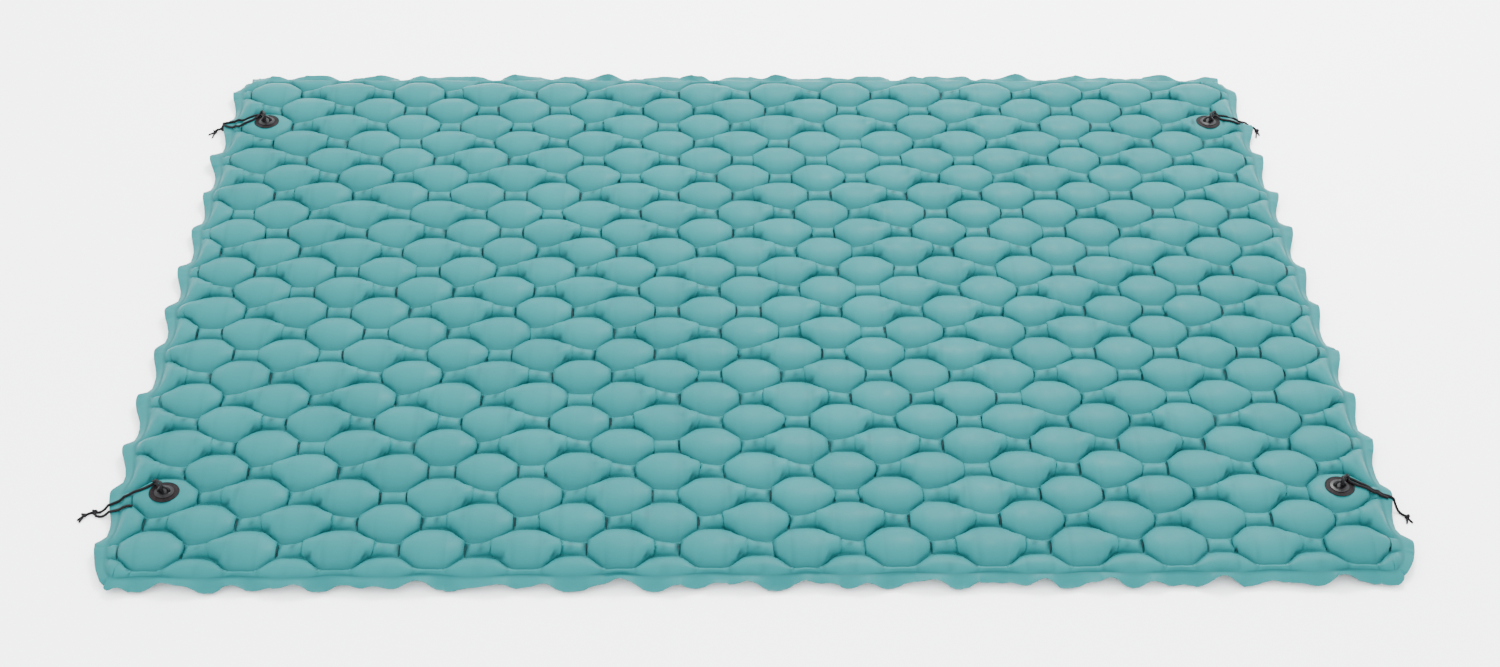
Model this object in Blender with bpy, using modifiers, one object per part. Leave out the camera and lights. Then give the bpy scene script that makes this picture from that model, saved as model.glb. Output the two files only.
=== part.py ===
"""A quilted inflatable mat, 2.90 x 2.13 x 0.05 m inflated, with four corner tie points, their cords and an air valve.

Metres, +Z up. X is the long side, the front edge is at -Y, and the mat rests on z = 0, centred on the origin.
"""

import math

import bmesh
import bpy
from mathutils import Vector
from mathutils.geometry import interpolate_bezier

# Driving dimensions of the mat
LENGTH = 2.90
DEPTH = 2.13
HEIGHT = 0.050
FLANGE = 0.030
FILM = 0.0005
WELD_Z = 0.025
EDGE_Z = 0.0185
CORNER_CUT = 0.010
CLEAR = 0.0003

# The quilting: rows of air tubes whose seams wave, so that each tube is a string of bumps and bridges
PERIODS = 14
ROWS = 24
WAVE = 0.023
WAVE_STEEPNESS = 1.6
BRIDGE_Z = 0.040
HALF_ROW_DROP = 0.006
END_BULGE = 0.035
CHAMBER_X = LENGTH / 2 - FLANGE
CHAMBER_Y = DEPTH / 2 - FLANGE
PITCH_X = 2 * CHAMBER_X / PERIODS
PITCH_Y = 2 * CHAMBER_Y / ROWS

# Tie points: a welded disc and a moulded eyelet on the bump nearest each corner
PATCH_RADIUS = 0.034
PATCH_THICKNESS = 0.0012
PATCH_Z = 0.0458
EYELET_X = CHAMBER_X - PITCH_X / 2
EYELET_Y = CHAMBER_Y - 3 * PITCH_Y
BOSS_TOP_RADIUS = 0.016
BOSS_RADIUS = 0.022
BOSS_HEIGHT = 0.003
BOSS_Z = PATCH_Z + PATCH_THICKNESS + CLEAR
ARCH_RADIUS = 0.010
ARCH_WIRE = 0.003
ARCH_LEG = 0.002
ARCH_ROOT = 0.0015

# Cords
CORD = 0.005
KNOT_RADIUS = 0.006
POINT_SPACING = 2.4 * CORD

# The air valve, in the underside, on the axis x = VALVE_X, y = VALVE_Y
VALVE_X = 5 * PITCH_X
VALVE_Y = -CHAMBER_Y + 2 * PITCH_Y
SHEET_HOLE_RADIUS = 0.0185
TURN_STEPS = 32
CAP_HINGE_X = -0.0125
CAP_HINGE_Z = 0.0020
FLAP_HINGE_X = -0.0115
FLAP_Z = 0.0173
FLAP_THICKNESS = 0.0008

# Routes are in millimetres from the centre of the corner's eyelet: outwards, towards the rear, and above the floor.
HITCH_KNOTS = {
    "front_left": (24, 27, 53.5),
    "rear_left": (20, 33, 53.5),
    "rear_right": (26, 34, 53.5),
    "front_right": (22, 25, 54),
}
END_KNOTS = {
    "front_left": (156, -18, 6.5),
    "rear_left": (129, 24, 26.5),
    "rear_right": (129, 46, 26.5),
    "front_right": (147, -56, 6.5),
}
STOPPER_KNOTS = {
    "front_left": (177, -29, 6.5),
    "rear_left": (150, 12, 6.5),
    "rear_right": (148, 19, 6.5),
}
TETHERS = {
    "front_left": [(38, 18, 52.8), (50, 9, 52.8), (62, 4, 51.8), (75, 0, 49), (88, -4, 44), (100, -8, 37),
                   (111, -11, 31.5), (122, -13, 27), (131, -15, 22.8), (140, -17, 16.5), (147, -18, 11)],
    "rear_left": [(34, 32, 51.5), (47, 27, 49.5), (60, 25, 47.5), (74, 26, 44), (87, 28, 39.8), (99, 29, 35.5),
                  (109, 28, 31.5), (118, 26, 28.5)],
    "rear_right": [(39, 31, 51), (51, 26, 49), (64, 27, 45.5), (78, 32, 42), (91, 31, 38.5), (103, 29, 34),
                   (113, 32, 30), (121, 38, 27.8)],
    "front_right": [(35, 20, 53.2), (46, 10, 52.2), (57, 3, 51), (68, -2, 49), (79, -5, 45.5), (90, -7, 41.5),
                    (101, -9, 36), (111, -12, 31.5), (119, -17, 28.2), (125, -25, 26), (131, -36, 23.6),
                    (138, -46, 17.5)],
}
TAILS = {
    "front_left": [(152, -28, 11.5), (142, -32, 19.5), (129, -33, 26), (116, -34, 30.5), (103, -37, 35.5),
                   (90, -39, 40.5), (77, -40, 43.5), (62, -41, 43.5)],
    "rear_left": [(27, 20, 53), (37, 8, 52.8), (49, -3, 52), (63, -9, 50.5), (76, -10, 47.5), (89, -5, 42),
                  (101, 1, 35.5), (117, 10, 29)],
    "rear_right": [(29, 22, 53.2), (37, 12, 52.8), (47, 4, 52.2), (58, -2, 51), (69, -7, 49), (80, -9, 46),
                   (90, -7, 42.5)],
    "front_right": [(26, 13, 53.8), (35, 4, 52.8), (46, -2, 51.6), (58, -6, 49.6), (70, -9, 47), (82, -11.5, 43.5),
                    (93, -13.5, 39), (103, -16, 34), (110, -21, 31)],
}
CORD_ENDS = {
    "front_left": [(167, -21, 6)],
    "rear_left": [(138, 27, 20.5), (145, 27, 13), (149, 22, 8.5)],
    "rear_right": [(138, 43, 20.5), (144, 37, 13.5), (147, 29, 9)],
}
CORNERS = {"front_left": (-1, -1), "front_right": (1, -1), "rear_left": (-1, 1), "rear_right": (1, 1)}


def clear_scene():
    for old in list(bpy.data.objects):
        bpy.data.objects.remove(old)


def new_collection(name):
    collection = bpy.data.collections.new(name)
    bpy.context.scene.collection.children.link(collection)
    return collection


def make_material(name, colour, roughness, metallic=0.0):
    material = bpy.data.materials.new(name)
    material.use_nodes = True
    shader = material.node_tree.nodes["Principled BSDF"]
    shader.inputs["Base Color"].default_value = (*colour, 1)
    shader.inputs["Roughness"].default_value = roughness
    shader.inputs["Metallic"].default_value = metallic
    return material


def add_object(name, data, location, material, smooth=True):
    if material:
        data.materials.append(material)
    part = bpy.data.objects.new(name, data)
    part.location = location
    if smooth and isinstance(data, bpy.types.Mesh):
        for face in data.polygons:
            face.use_smooth = True
    mat_parts.objects.link(part)
    return part


def hide_as_cutter(part):
    mat_parts.objects.unlink(part)
    cutters.objects.link(part)
    part.hide_render = True
    part.display_type = "WIRE"


# Sheets


def wave(x):
    """+1 where an odd row has a bump, -1 where an even row has one, with flat tops and steep flanks between."""
    phase = ((x + CHAMBER_X) / PITCH_X) % 1.0
    triangle = 1 - 4 * abs(phase - 0.5)
    return max(-1.0, min(1.0, WAVE_STEEPNESS * triangle))


def seam_y(k, x):
    side = 1 if k % 2 else -1
    return -CHAMBER_Y + (k + 0.5) * PITCH_Y + side * WAVE * wave(x)


def crest_y(row, x):
    if row == 0:
        return (seam_y(0, x) - CHAMBER_Y) / 2
    if row == ROWS:
        return (seam_y(ROWS - 1, x) + CHAMBER_Y) / 2
    return -CHAMBER_Y + row * PITCH_Y


def crest_z(row, x):
    """The height of the film's inner face along a row's crest: high on a bump, lower on a bridge, down at its ends."""
    if abs(x) > CHAMBER_X - END_BULGE / 2:
        return WELD_Z
    bump = wave(x) if row % 2 else -wave(x)
    height = BRIDGE_Z + (HEIGHT - BRIDGE_Z) * (bump + 1) / 2
    if row in (0, ROWS):
        height -= HALF_ROW_DROP
    return height - FILM


def mat_columns(steps):
    inner = [CHAMBER_X * (2 * i / steps - 1) for i in range(steps + 1)]
    bulge = CHAMBER_X - END_BULGE
    return sorted([-LENGTH / 2, LENGTH / 2, -bulge, bulge] + inner)


def top_rows():
    rows = [("edge", -1), ("rim", -1), ("crest", 0)]
    for k in range(ROWS):
        rows += [("seam", k), ("crest", k + 1)]
    return rows + [("rim", 1), ("edge", 1)]


def top_point(x, row):
    kind, index = row
    on_flange = abs(x) > CHAMBER_X + CLEAR
    if kind == "edge":
        return Vector((x, index * DEPTH / 2, EDGE_Z))
    if kind == "rim":
        return Vector((x, index * CHAMBER_Y, EDGE_Z if on_flange else WELD_Z))
    inside = max(-CHAMBER_X, min(CHAMBER_X, x))
    y = seam_y(index, inside) if kind == "seam" else crest_y(index, inside)
    if on_flange:
        return Vector((x, y, EDGE_Z))
    if kind == "seam":
        return Vector((x, y, WELD_Z))
    under_patch = abs(abs(x) - EYELET_X) < CLEAR and index in (3, ROWS - 3)
    return Vector((x, y, PATCH_Z - 2 * FILM if under_patch else crest_z(index, x)))


def tray_point(x, y):
    """The underside, plain: flat on the floor, and rising to the weld at its edges."""
    inset = min(CHAMBER_X - abs(x), CHAMBER_Y - abs(y))
    if inset < -CLEAR:
        return Vector((x, y, EDGE_Z))
    return Vector((x, y, 0 if inset > CLEAR else WELD_Z))


def cut_corner(point):
    """The outline's corners are rounded off."""
    if abs(point.x) > LENGTH / 2 - CLEAR and abs(point.y) > DEPTH / 2 - CLEAR:
        point.x -= math.copysign(CORNER_CUT, point.x)
        point.y -= math.copysign(CORNER_CUT, point.y)
    return point


def sheet(name, columns, rows, place, lift, outward, material):
    """A grid of columns and rows, each point put in its place, and given the film's thickness."""
    mesh = bpy.data.meshes.new(name)
    grid = bmesh.new()
    bmesh.ops.create_grid(grid, x_segments=len(columns) - 1, y_segments=len(rows) - 1, size=1)
    for point in grid.verts:
        column = round((point.co.x + 1) / 2 * (len(columns) - 1))
        row = round((point.co.y + 1) / 2 * (len(rows) - 1))
        point.co = cut_corner(place(columns[column], rows[row]))
        point.co.z += lift(point.co.z)
    bmesh.ops.triangulate(grid, faces=grid.faces, quad_method="SHORT_EDGE")
    grid.to_mesh(mesh)
    grid.free()
    part = add_object(name, mesh, (0, 0, 0), material, smooth=False)
    film = part.modifiers.new("Film", "SOLIDIFY")
    film.thickness = FILM
    film.offset = outward
    return part


def make_sheets():
    edge_rows = [-DEPTH / 2, -CHAMBER_Y, END_BULGE - CHAMBER_Y]
    tray_rows = edge_rows + [-y for y in reversed(edge_rows)]
    edge_columns = [-LENGTH / 2, -CHAMBER_X, END_BULGE - CHAMBER_X]
    tray_columns = edge_columns + [-x for x in reversed(edge_columns)]
    sheet("top_sheet", mat_columns(2 * PERIODS), top_rows(), top_point, lambda z: CLEAR / 2, 1, vinyl)
    bottom = sheet("bottom_sheet", tray_columns, tray_rows, tray_point,
                   lambda z: -CLEAR / 2 - FILM if z else 0, 1, vinyl)
    hole = turned("valve_hole", [(0, 0.01), (SHEET_HOLE_RADIUS, 0.01), (SHEET_HOLE_RADIUS, -0.01), (0, -0.01)],
                  (VALVE_X, VALVE_Y, 0), None)
    hide_as_cutter(hole)
    cut = bottom.modifiers.new("Valve hole", "BOOLEAN")
    cut.operation = "DIFFERENCE"
    cut.solver = "EXACT"
    cut.object = hole


# Turned and round pieces


def turned(name, profile, location, material, closed=False):
    """A profile of radius and height, listed down its outer side, turned about Z."""
    count = len(profile)
    edges = [(i, i + 1) for i in range(count - 1)]
    if closed:
        edges.append((count - 1, 0))
    mesh = bpy.data.meshes.new(name)
    mesh.from_pydata([(radius, 0, height) for radius, height in profile], edges, [])
    part = add_object(name, mesh, location, material)
    screw = part.modifiers.new("Turn", "SCREW")
    screw.steps = TURN_STEPS
    screw.render_steps = TURN_STEPS
    screw.use_merge_vertices = True
    screw.merge_threshold = 0.00001
    screw.use_smooth_shade = False
    return part


def make_tube(name, points, radius, material):
    curve = bpy.data.curves.new(name, "CURVE")
    curve.dimensions = "3D"
    curve.bevel_depth = radius
    curve.bevel_resolution = 2
    curve.use_fill_caps = True
    spline = curve.splines.new("POLY")
    spline.points.add(len(points) - 1)
    for slot, point in zip(spline.points, points):
        slot.co = (*point, 1)
    return add_object(name, curve, (0, 0, 0), material)


def make_ball(name, centre, radius, material):
    mesh = bpy.data.meshes.new(name)
    ball = bmesh.new()
    bmesh.ops.create_uvsphere(ball, u_segments=12, v_segments=8, radius=radius)
    ball.to_mesh(mesh)
    ball.free()
    return add_object(name, mesh, centre, material)


# Tie points and cords


def corner_point(corner, millimetres):
    """A route's point: outwards, rearwards and up from the corner's eyelet, in millimetres, as a place in metres."""
    side_x, side_y = CORNERS[corner]
    out, back, up = (value / 1000 for value in millimetres)
    return Vector((side_x * (EYELET_X + out), side_y * EYELET_Y + back, up))


def smooth_route(points, spacing):
    """Points about spacing apart on the smooth curve through the given ones."""
    ends = [2 * points[0] - points[1], *points, 2 * points[-1] - points[-2]]
    route = [points[0]]
    for before, start, end, after in zip(ends, ends[1:], ends[2:], ends[3:]):
        count = max(1, round((end - start).length / spacing))
        leave = start + (end - before) / 6
        arrive = end - (after - start) / 6
        route += interpolate_bezier(start, leave, arrive, end, count + 1)[1:]
    return route


def meet(knot, toward):
    """Where a cord that comes straight from toward ends: just clear of the knot's surface."""
    return knot + (toward - knot).normalized() * (KNOT_RADIUS + CLEAR)


def make_cord(name, points, start=None, end=None):
    if start:
        points = [meet(start, points[0])] + points
    if end:
        points = points + [meet(end, points[-1])]
    return make_tube(name, smooth_route(points, POINT_SPACING), CORD / 2, cord_black)


def loop_points(corner):
    """The cord's loop from the hitch knot, through the eyelet under its arch, and back over it to the knot."""
    x = 3.5
    bar = 1000 * (BOSS_Z + BOSS_HEIGHT + ARCH_LEG) + math.sqrt((1000 * ARCH_RADIUS) ** 2 - x**2)
    round_bar = 1000 * (ARCH_WIRE + CORD / 2) + 1.1
    diagonal = round_bar * math.sqrt(0.5)
    knot = HITCH_KNOTS[corner]
    under = [(knot[0] * 0.52 + 1, knot[1] * 0.5, 55.2), (x + 1.5, 6, 55.2), (x, 0, bar - round_bar)]
    front = [(x, -diagonal, bar - diagonal), (x, -round_bar, bar), (x, -diagonal, bar + diagonal)]
    over = [(x, 0, bar + round_bar), (x + 1.5, 7, bar + round_bar), (knot[0] - 8, knot[1] - 9, bar + 4.5),
            (knot[0] - 1.5, knot[1] - 2, knot[2] + 13)]
    return [corner_point(corner, point) for point in under + front + over]


def make_eyelet(corner):
    side_x, side_y = CORNERS[corner]
    place = Vector((side_x * EYELET_X, side_y * EYELET_Y, BOSS_Z))
    half = PATCH_THICKNESS / 2
    turned(f"eyelet_patch_{corner}",
           [(0, half), (PATCH_RADIUS - half, half), (PATCH_RADIUS, -half / 2), (PATCH_RADIUS, -half), (0, -half)],
           (place.x, place.y, PATCH_Z + half), patch_black)
    eyelet = turned(f"eyelet_{corner}",
                    [(0, BOSS_HEIGHT), (BOSS_TOP_RADIUS, BOSS_HEIGHT), (BOSS_RADIUS, 0), (0, 0)],
                    place, moulded_black)
    top = BOSS_HEIGHT + ARCH_LEG
    turn = [math.pi * i / 8 for i in range(9)]
    bow = [Vector((ARCH_RADIUS * math.cos(a), 0, top + ARCH_RADIUS * math.sin(a))) for a in turn]
    root = BOSS_HEIGHT - ARCH_ROOT
    points = [Vector((ARCH_RADIUS, 0, root)), *bow, Vector((-ARCH_RADIUS, 0, root))]
    tube = make_tube(f"arch_curve_{corner}", points, ARCH_WIRE, None)
    mesh = bpy.data.meshes.new_from_object(tube)
    bpy.data.objects.remove(tube)
    welded = bmesh.new()
    welded.from_mesh(mesh)
    bmesh.ops.remove_doubles(welded, verts=welded.verts, dist=0.00001)
    welded.to_mesh(mesh)
    welded.free()
    arch = add_object(f"arch_{corner}", mesh, place, None)
    hide_as_cutter(arch)
    join = eyelet.modifiers.new("Arch", "BOOLEAN")
    join.operation = "UNION"
    join.solver = "EXACT"
    join.object = arch


def make_corner_cords(corner):
    hitch = corner_point(corner, HITCH_KNOTS[corner])
    end = corner_point(corner, END_KNOTS[corner])
    make_ball(f"hitch_knot_{corner}", hitch, KNOT_RADIUS, cord_black)
    make_ball(f"end_knot_{corner}", end, KNOT_RADIUS, cord_black)
    make_cord(f"cord_loop_{corner}", loop_points(corner), hitch, hitch)
    tether = [corner_point(corner, point) for point in TETHERS[corner]]
    make_cord(f"tether_{corner}", tether, hitch, end)
    tail = [corner_point(corner, point) for point in TAILS[corner]]
    tail_start = end if corner == "front_left" else hitch
    tail_end = end if corner == "rear_left" else None
    make_cord(f"tether_tail_{corner}", tail, tail_start, tail_end)
    if corner in STOPPER_KNOTS:
        stopper = corner_point(corner, STOPPER_KNOTS[corner])
        make_ball(f"stopper_knot_{corner}", stopper, KNOT_RADIUS, cord_black)
        last = [corner_point(corner, point) for point in CORD_ENDS[corner]]
        make_cord(f"cord_end_{corner}", last, end, stopper)


# The valve


def make_box(name, low, high, origin, material):
    mesh = bpy.data.meshes.new(name)
    block = bmesh.new()
    bmesh.ops.create_cube(block, size=1)
    low, high = Vector(low), Vector(high)
    for point in block.verts:
        point.co = Vector(a + (b - a) * (c + 0.5) for a, b, c in zip(low, high, point.co))
    block.to_mesh(mesh)
    block.free()
    return add_object(name, mesh, origin, material, smooth=False)


def make_valve():
    axis = Vector((VALVE_X, VALVE_Y, 0))
    turned("valve_base",
           [(0.0200, 0.0180), (0.0200, 0.0020), (0.0350, 0.0020), (0.0350, 0.0008), (0.0175, 0.0008),
            (0.0175, 0.0180)], axis, moulded_black, closed=True)
    turned("valve_plug",
           [(0.0166, 0.0170), (0.0166, 0.0120), (0.0152, 0.0120), (0.0152, 0.0090), (0.0166, 0.0090),
            (0.0170, 0.0040), (0.0080, 0.0040), (0.0080, 0.0170)], axis, valve_plastic, closed=True)
    ring = [math.tau * i / 8 for i in range(8)]
    turned("valve_seal", [(0.01635 + 0.0008 * math.cos(a), 0.0105 - 0.0008 * math.sin(a)) for a in ring],
           axis, seal_rubber, closed=True)
    make_cap(axis)
    make_flap(axis)


def make_cap(axis):
    """The inlet's cap: a disc with a short plug, which swings down about a strap at its edge."""
    hinge = axis + Vector((CAP_HINGE_X, 0, CAP_HINGE_Z))
    cap = turned("valve_cap",
                 [(0, 0.0070), (0.0068, 0.0070), (0.0070, 0.0028), (0.0115, 0.0028), (0.0118, 0.0014),
                  (0.0112, 0.0010), (0, 0.0010)], axis, valve_plastic)
    cap.location = hinge
    for point in cap.data.vertices:
        point.co.z -= hinge.z
    shift_turned(cap, -CAP_HINGE_X)
    make_box("cap_strap", (-0.0165, -0.003, 0.0014), (-0.0147, 0.003, 0.0036), axis, valve_plastic)


def shift_turned(part, distance):
    """Moves a turned piece along X in its own frame, so that its origin can be on a hinge beside its axis."""
    graph = bpy.context.evaluated_depsgraph_get()
    mesh = bpy.data.meshes.new_from_object(part.evaluated_get(graph))
    part.modifiers.clear()
    part.data = mesh
    for point in mesh.vertices:
        point.co.x += distance


def make_flap(axis):
    """The one-way flap over the inner end of the inlet, which opens inwards about its edge."""
    hinge = axis + Vector((FLAP_HINGE_X, 0, FLAP_Z))
    flap = turned("valve_flap", [(0, FLAP_THICKNESS), (0.0105, FLAP_THICKNESS), (0.0105, 0), (0, 0)],
                  hinge, seal_rubber)
    shift_turned(flap, -FLAP_HINGE_X)


clear_scene()
mat_parts = new_collection("inflatable_mat")
cutters = new_collection("cutters")
cutters.hide_render = True
vinyl = make_material("teal_vinyl", (0.10, 0.44, 0.47), 0.38)
patch_black = make_material("patch_black", (0.035, 0.028, 0.030), 0.55)
moulded_black = make_material("moulded_black", (0.012, 0.012, 0.013), 0.25)
cord_black = make_material("cord_black", (0.012, 0.011, 0.013), 0.75)
valve_plastic = make_material("valve_plastic", (0.03, 0.03, 0.032), 0.4)
seal_rubber = make_material("seal_rubber", (0.02, 0.02, 0.02), 0.6)

make_sheets()
for corner_name in CORNERS:
    make_eyelet(corner_name)
    make_corner_cords(corner_name)
make_valve()
bpy.context.view_layer.update()
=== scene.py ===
"""The looks of the quilted inflatable mat: film blown up by a simulation, tie points, cords and valve.

Metres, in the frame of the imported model. The film of each side is one grid of points. Its welds and its
flange are held in place, and air pushes out everything between the welds until the film holds it.
"""

import math
from types import SimpleNamespace

import bmesh
import bpy
import numpy as np
from mathutils import Euler, Matrix, Vector
from mathutils.bvhtree import BVHTree
from mathutils.geometry import interpolate_bezier


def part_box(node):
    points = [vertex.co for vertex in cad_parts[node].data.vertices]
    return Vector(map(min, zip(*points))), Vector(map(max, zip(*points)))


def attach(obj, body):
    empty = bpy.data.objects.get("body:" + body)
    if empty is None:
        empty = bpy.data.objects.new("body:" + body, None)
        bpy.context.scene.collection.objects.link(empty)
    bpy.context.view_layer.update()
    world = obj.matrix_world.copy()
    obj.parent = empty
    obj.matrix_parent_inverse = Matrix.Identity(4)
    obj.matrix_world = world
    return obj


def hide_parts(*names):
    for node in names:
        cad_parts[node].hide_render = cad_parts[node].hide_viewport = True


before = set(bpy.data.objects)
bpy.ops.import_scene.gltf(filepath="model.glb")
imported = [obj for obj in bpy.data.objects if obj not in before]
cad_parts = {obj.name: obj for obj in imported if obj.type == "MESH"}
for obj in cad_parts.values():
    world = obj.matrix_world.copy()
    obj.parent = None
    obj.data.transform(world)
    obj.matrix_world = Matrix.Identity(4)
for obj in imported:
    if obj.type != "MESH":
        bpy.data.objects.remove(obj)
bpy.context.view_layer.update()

# The quilting: tubes whose seams wave, so that each tube is a string of bumps and bridges
SHEET_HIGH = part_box("top_sheet")[1]
PERIODS = 14
ROWS = 24
FLANGE = 0.030
WELD_Z = 0.025
HEIGHT = 0.050
WAVE = 0.023
WAVE_STEEPNESS = 2.7
WAVE_ROUNDING = 0.015
CHAMBER_X = SHEET_HIGH.x - FLANGE
CHAMBER_Y = SHEET_HIGH.y - FLANGE
PITCH_X = 2 * CHAMBER_X / PERIODS
PITCH_Y = 2 * CHAMBER_Y / ROWS
WELD_BAND = 0.004
FILM_PAIR = 0.0008
CORNERS = {"front_left": (-1, -1), "front_right": (1, -1), "rear_left": (-1, 1), "rear_right": (1, 1)}

# The camera, which has the photograph's view
CAMERA_LENS = 52.97
CAMERA_SENSOR = 36
CAMERA_END = 50
CAMERA_PLACE = (-0.170, -4.494, 3.326)
CAMERA_PITCH = 37.358
CAMERA_YAW = 2.270
CAMERA_ROLL = 1.221

# The flat film is longer and wider than the inflated mat, and gathers in creases at the ends of the bridges.
# A bridge tapers towards its crease. Phases are shares of PITCH_X.
FLAT_STRETCH_X = 1.006
FLAT_PITCH_Y = 0.0978
FLAT_WAVE = 0.0225
CREASE_PHASES = (0.16, 0.34, 0.66, 0.84)
SPAN_CELLS = (3, 5, 3, 5)
CREASE_CELL = 0.0026
CREASE_CELLS = 2
CREASE_SPARE = 0.0080
CREASE_SIZES = (0.75, 1.15)
CREASE_DOUBLE = 0.25
CREASE_DOUBLE_SIZE = 0.6
CREASE_PATTERNS = ((1, 0), (0, 1), (1, 1))
CREASE_SHARES = (0.36, 0.36, 0.28)
TAPER_THIN = 0.76
TAPER_FULL = 1.28
TAPER_BOTH = 0.90
TAPER_EASE = 0.20
TAPER_END = 0.03
CELLS_ROW = 8
CELLS_HALF_ROW = 5
CELLS_FLANGE = 4
ROW_GATHER = 0.09
START_SLOPE = 0.35
START_ROUGHNESS = 0.0005
START_CREASE = 1.2

# The edge: the tubes draw the perimeter weld in between the bumps, and the flange outside it ripples
SIDE_SCALLOP = 0.012
SIDE_FOLD = 0.42
SIDE_DROP = 0.011
SIDE_RIPPLE = 0.004
LOBE_PEAK = 0.1
LOBE_RISE = 0.6
LOBE_FALL = 0.27
LOBE_SHIFT = 0.06
LOBE_SIZES = (0.6, 1.1)
FRONT_SCALLOP = 0.011
FRONT_FOLD = 0.38
FRONT_DROP = 0.009
FRONT_RIPPLE = 0.014
REAR_DROP = 0.003
REAR_RIPPLE = 0.014
RIPPLE_PITCH = 0.66 * PITCH_X
RIPPLE_PARTS = ((1.0, 0.5), (0.62, 0.3), (1.7, 0.4))
RIPPLE_WANDER = 0.25
RIPPLE_WANDER_PITCH = 2.3
PINCH_POWER = 1.5
PINCH_SHARE = 0.7
WAVES_SHARE = 0.3
MOST_LIFT = 0.016
RIDGE_RISE = 0.005
RIDGE_WIDTH = 0.012
FLANGE_CRUMPLE = 0.0025
SCALLOP_REACH = 0.030
CORNER_ROUND = 0.080
CORNER_POWER = 2.1
WELD_DRIFT = 0.0020
WELD_RIPPLE = 0.0015

# The simulation
TOP_SEED = 7
BOTTOM_SEED = 11
SHARED_SEED = 3
STEPS = 260
AIR_PUSH = 0.00020
KEEP_SPEED = 0.85
FLOOR_GAP = 0.0006

# The valve's place in the bottom film, which is flat round it and has a hole for it
VALVE_PLATE = 0.038
VALVE_HOLE = 0.0185
HOLE_FINE = 2.4
HOLE_EDGE = 1.5
PLATE_Z = 0.0004
RIM_GAP = 0.0002

# Looks
# The depth of dip at which the painted shade in the film's creases is at full strength
CREASE_SHADE_DEPTH = 0.003
VINYL_DEEP = (0.0060, 0.080, 0.083)
VINYL_PALE = (0.0080, 0.094, 0.097)
VINYL_SPECK = (0.014, 0.128, 0.132)
VINYL_WELD = (0.0055, 0.072, 0.075)
# Painted shade: the near-black that the film is darkened towards in its creases, as if shade fell there
VINYL_CREASE_SHADE = (0.001, 0.014, 0.016)
VINYL_SHINE = 0.06
THREADS = 400.0
DISC_DEEP = (0.0020, 0.0013, 0.0016)
DISC_PALE = (0.0065, 0.0042, 0.0050)
DISC_SHINE = 0.06
CORD_DEEP = (0.0015, 0.0014, 0.0018)
CORD_PALE = (0.0065, 0.0058, 0.0068)
CORD_SHINE = 0.10
EYELET_DEEP = (0.002, 0.002, 0.0025)
EYELET_PALE = (0.004, 0.0035, 0.004)
VALVE_DEEP = (0.004, 0.004, 0.0045)
VALVE_PALE = (0.008, 0.008, 0.009)
PLASTIC_SHINE = 0.13
SEAL_DEEP = (0.003, 0.003, 0.003)
SEAL_PALE = (0.006, 0.006, 0.006)
SEAL_SHINE = 0.1
FLOOR_DEEP = (0.93, 0.93, 0.935)
FLOOR_PALE = (0.95, 0.95, 0.95)
FLOOR_REACH = 20
KEY_PLACE = (1.3, 3.2, 4.6)
KEY_SIZE = 2.0
KEY_POWER = 700
FILL_PLACE = (-3.5, -2.5, 3.5)
FILL_SIZE = 3
FILL_POWER = 60
SKY = 4.5
SKY_COLOUR = (0.97, 0.985, 1, 1)

# What holds two grid points together: rows apart, columns apart, pull if stretched, push if shortened
LINK_KINDS = (
    (0, 1, 1.0, 0.90),
    (1, 0, 1.0, 0.60),
    (1, 1, 0.35, 0.08),
    (1, -1, 0.35, 0.08),
    (0, 2, 0.0, 0.05),
    (2, 0, 0.0, 0.05),
)

# The tie points: discs and moulded eyelets
DISC_STEPS = 96
DISC_WOBBLE = 0.02
DISC_GAP = 0.0003
DISC_CLEAR = 0.004
DISC_SHOULDER = 0.25
DISC_RIM_STEPS = 10
DISC_UNDER = 0.8
# The disc's face, with the weld ring pressed into it: share of its radius, share of its thickness
DISC_FACE = ((0.20, 0), (0.64, 0), (0.80, 0), (0.835, 0.03), (0.85, 0.22), (0.88, 0.26), (0.91, 0.22),
             (0.925, 0.03), (0.95, 0))
BOSS_HEIGHT = 0.003
BOSS_SLOPE = 0.006
# The boss from its top to its base: share of its radius, height
BOSS_PROFILE = ((0, BOSS_HEIGHT), (0.40, BOSS_HEIGHT), (0.62, BOSS_HEIGHT - 0.0002),
                (0.70, BOSS_HEIGHT - 0.0010), (0.86, 0.0014), (0.985, 0.0011), (0.995, 0.0001), (0, 0.0001))
ARCH_RADIUS = 0.010
ARCH_WIRE = 0.003
ARCH_WIDE = 1.15
ARCH_DEEP = 0.97
ARCH_FOOT = 0.45
ARCH_SPLAY = 0.12
ARCH_BASE = 0.0012
ARCH_STEPS = 32
ARCH_SIDES = 20
EYELET_VOXEL = 0.0004
EYELET_SMOOTHING = 4

KNOT_TURNS = {
    "front_left": ((0.5, 0.3, 0.4), (0.2, -0.5, 1.9), (-0.4, 0.5, 0.2)),
    "rear_left": ((0.3, -0.4, 1.2), (0.6, 0.2, 2.8), (0.3, -0.5, 2.1)),
    "rear_right": ((-0.5, 0.3, 2.0), (0.4, 0.5, 0.7), (-0.3, -0.4, 1.5)),
    "front_right": ((0.4, 0.4, 2.6), (-0.5, 0.3, 1.1)),
}

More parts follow.
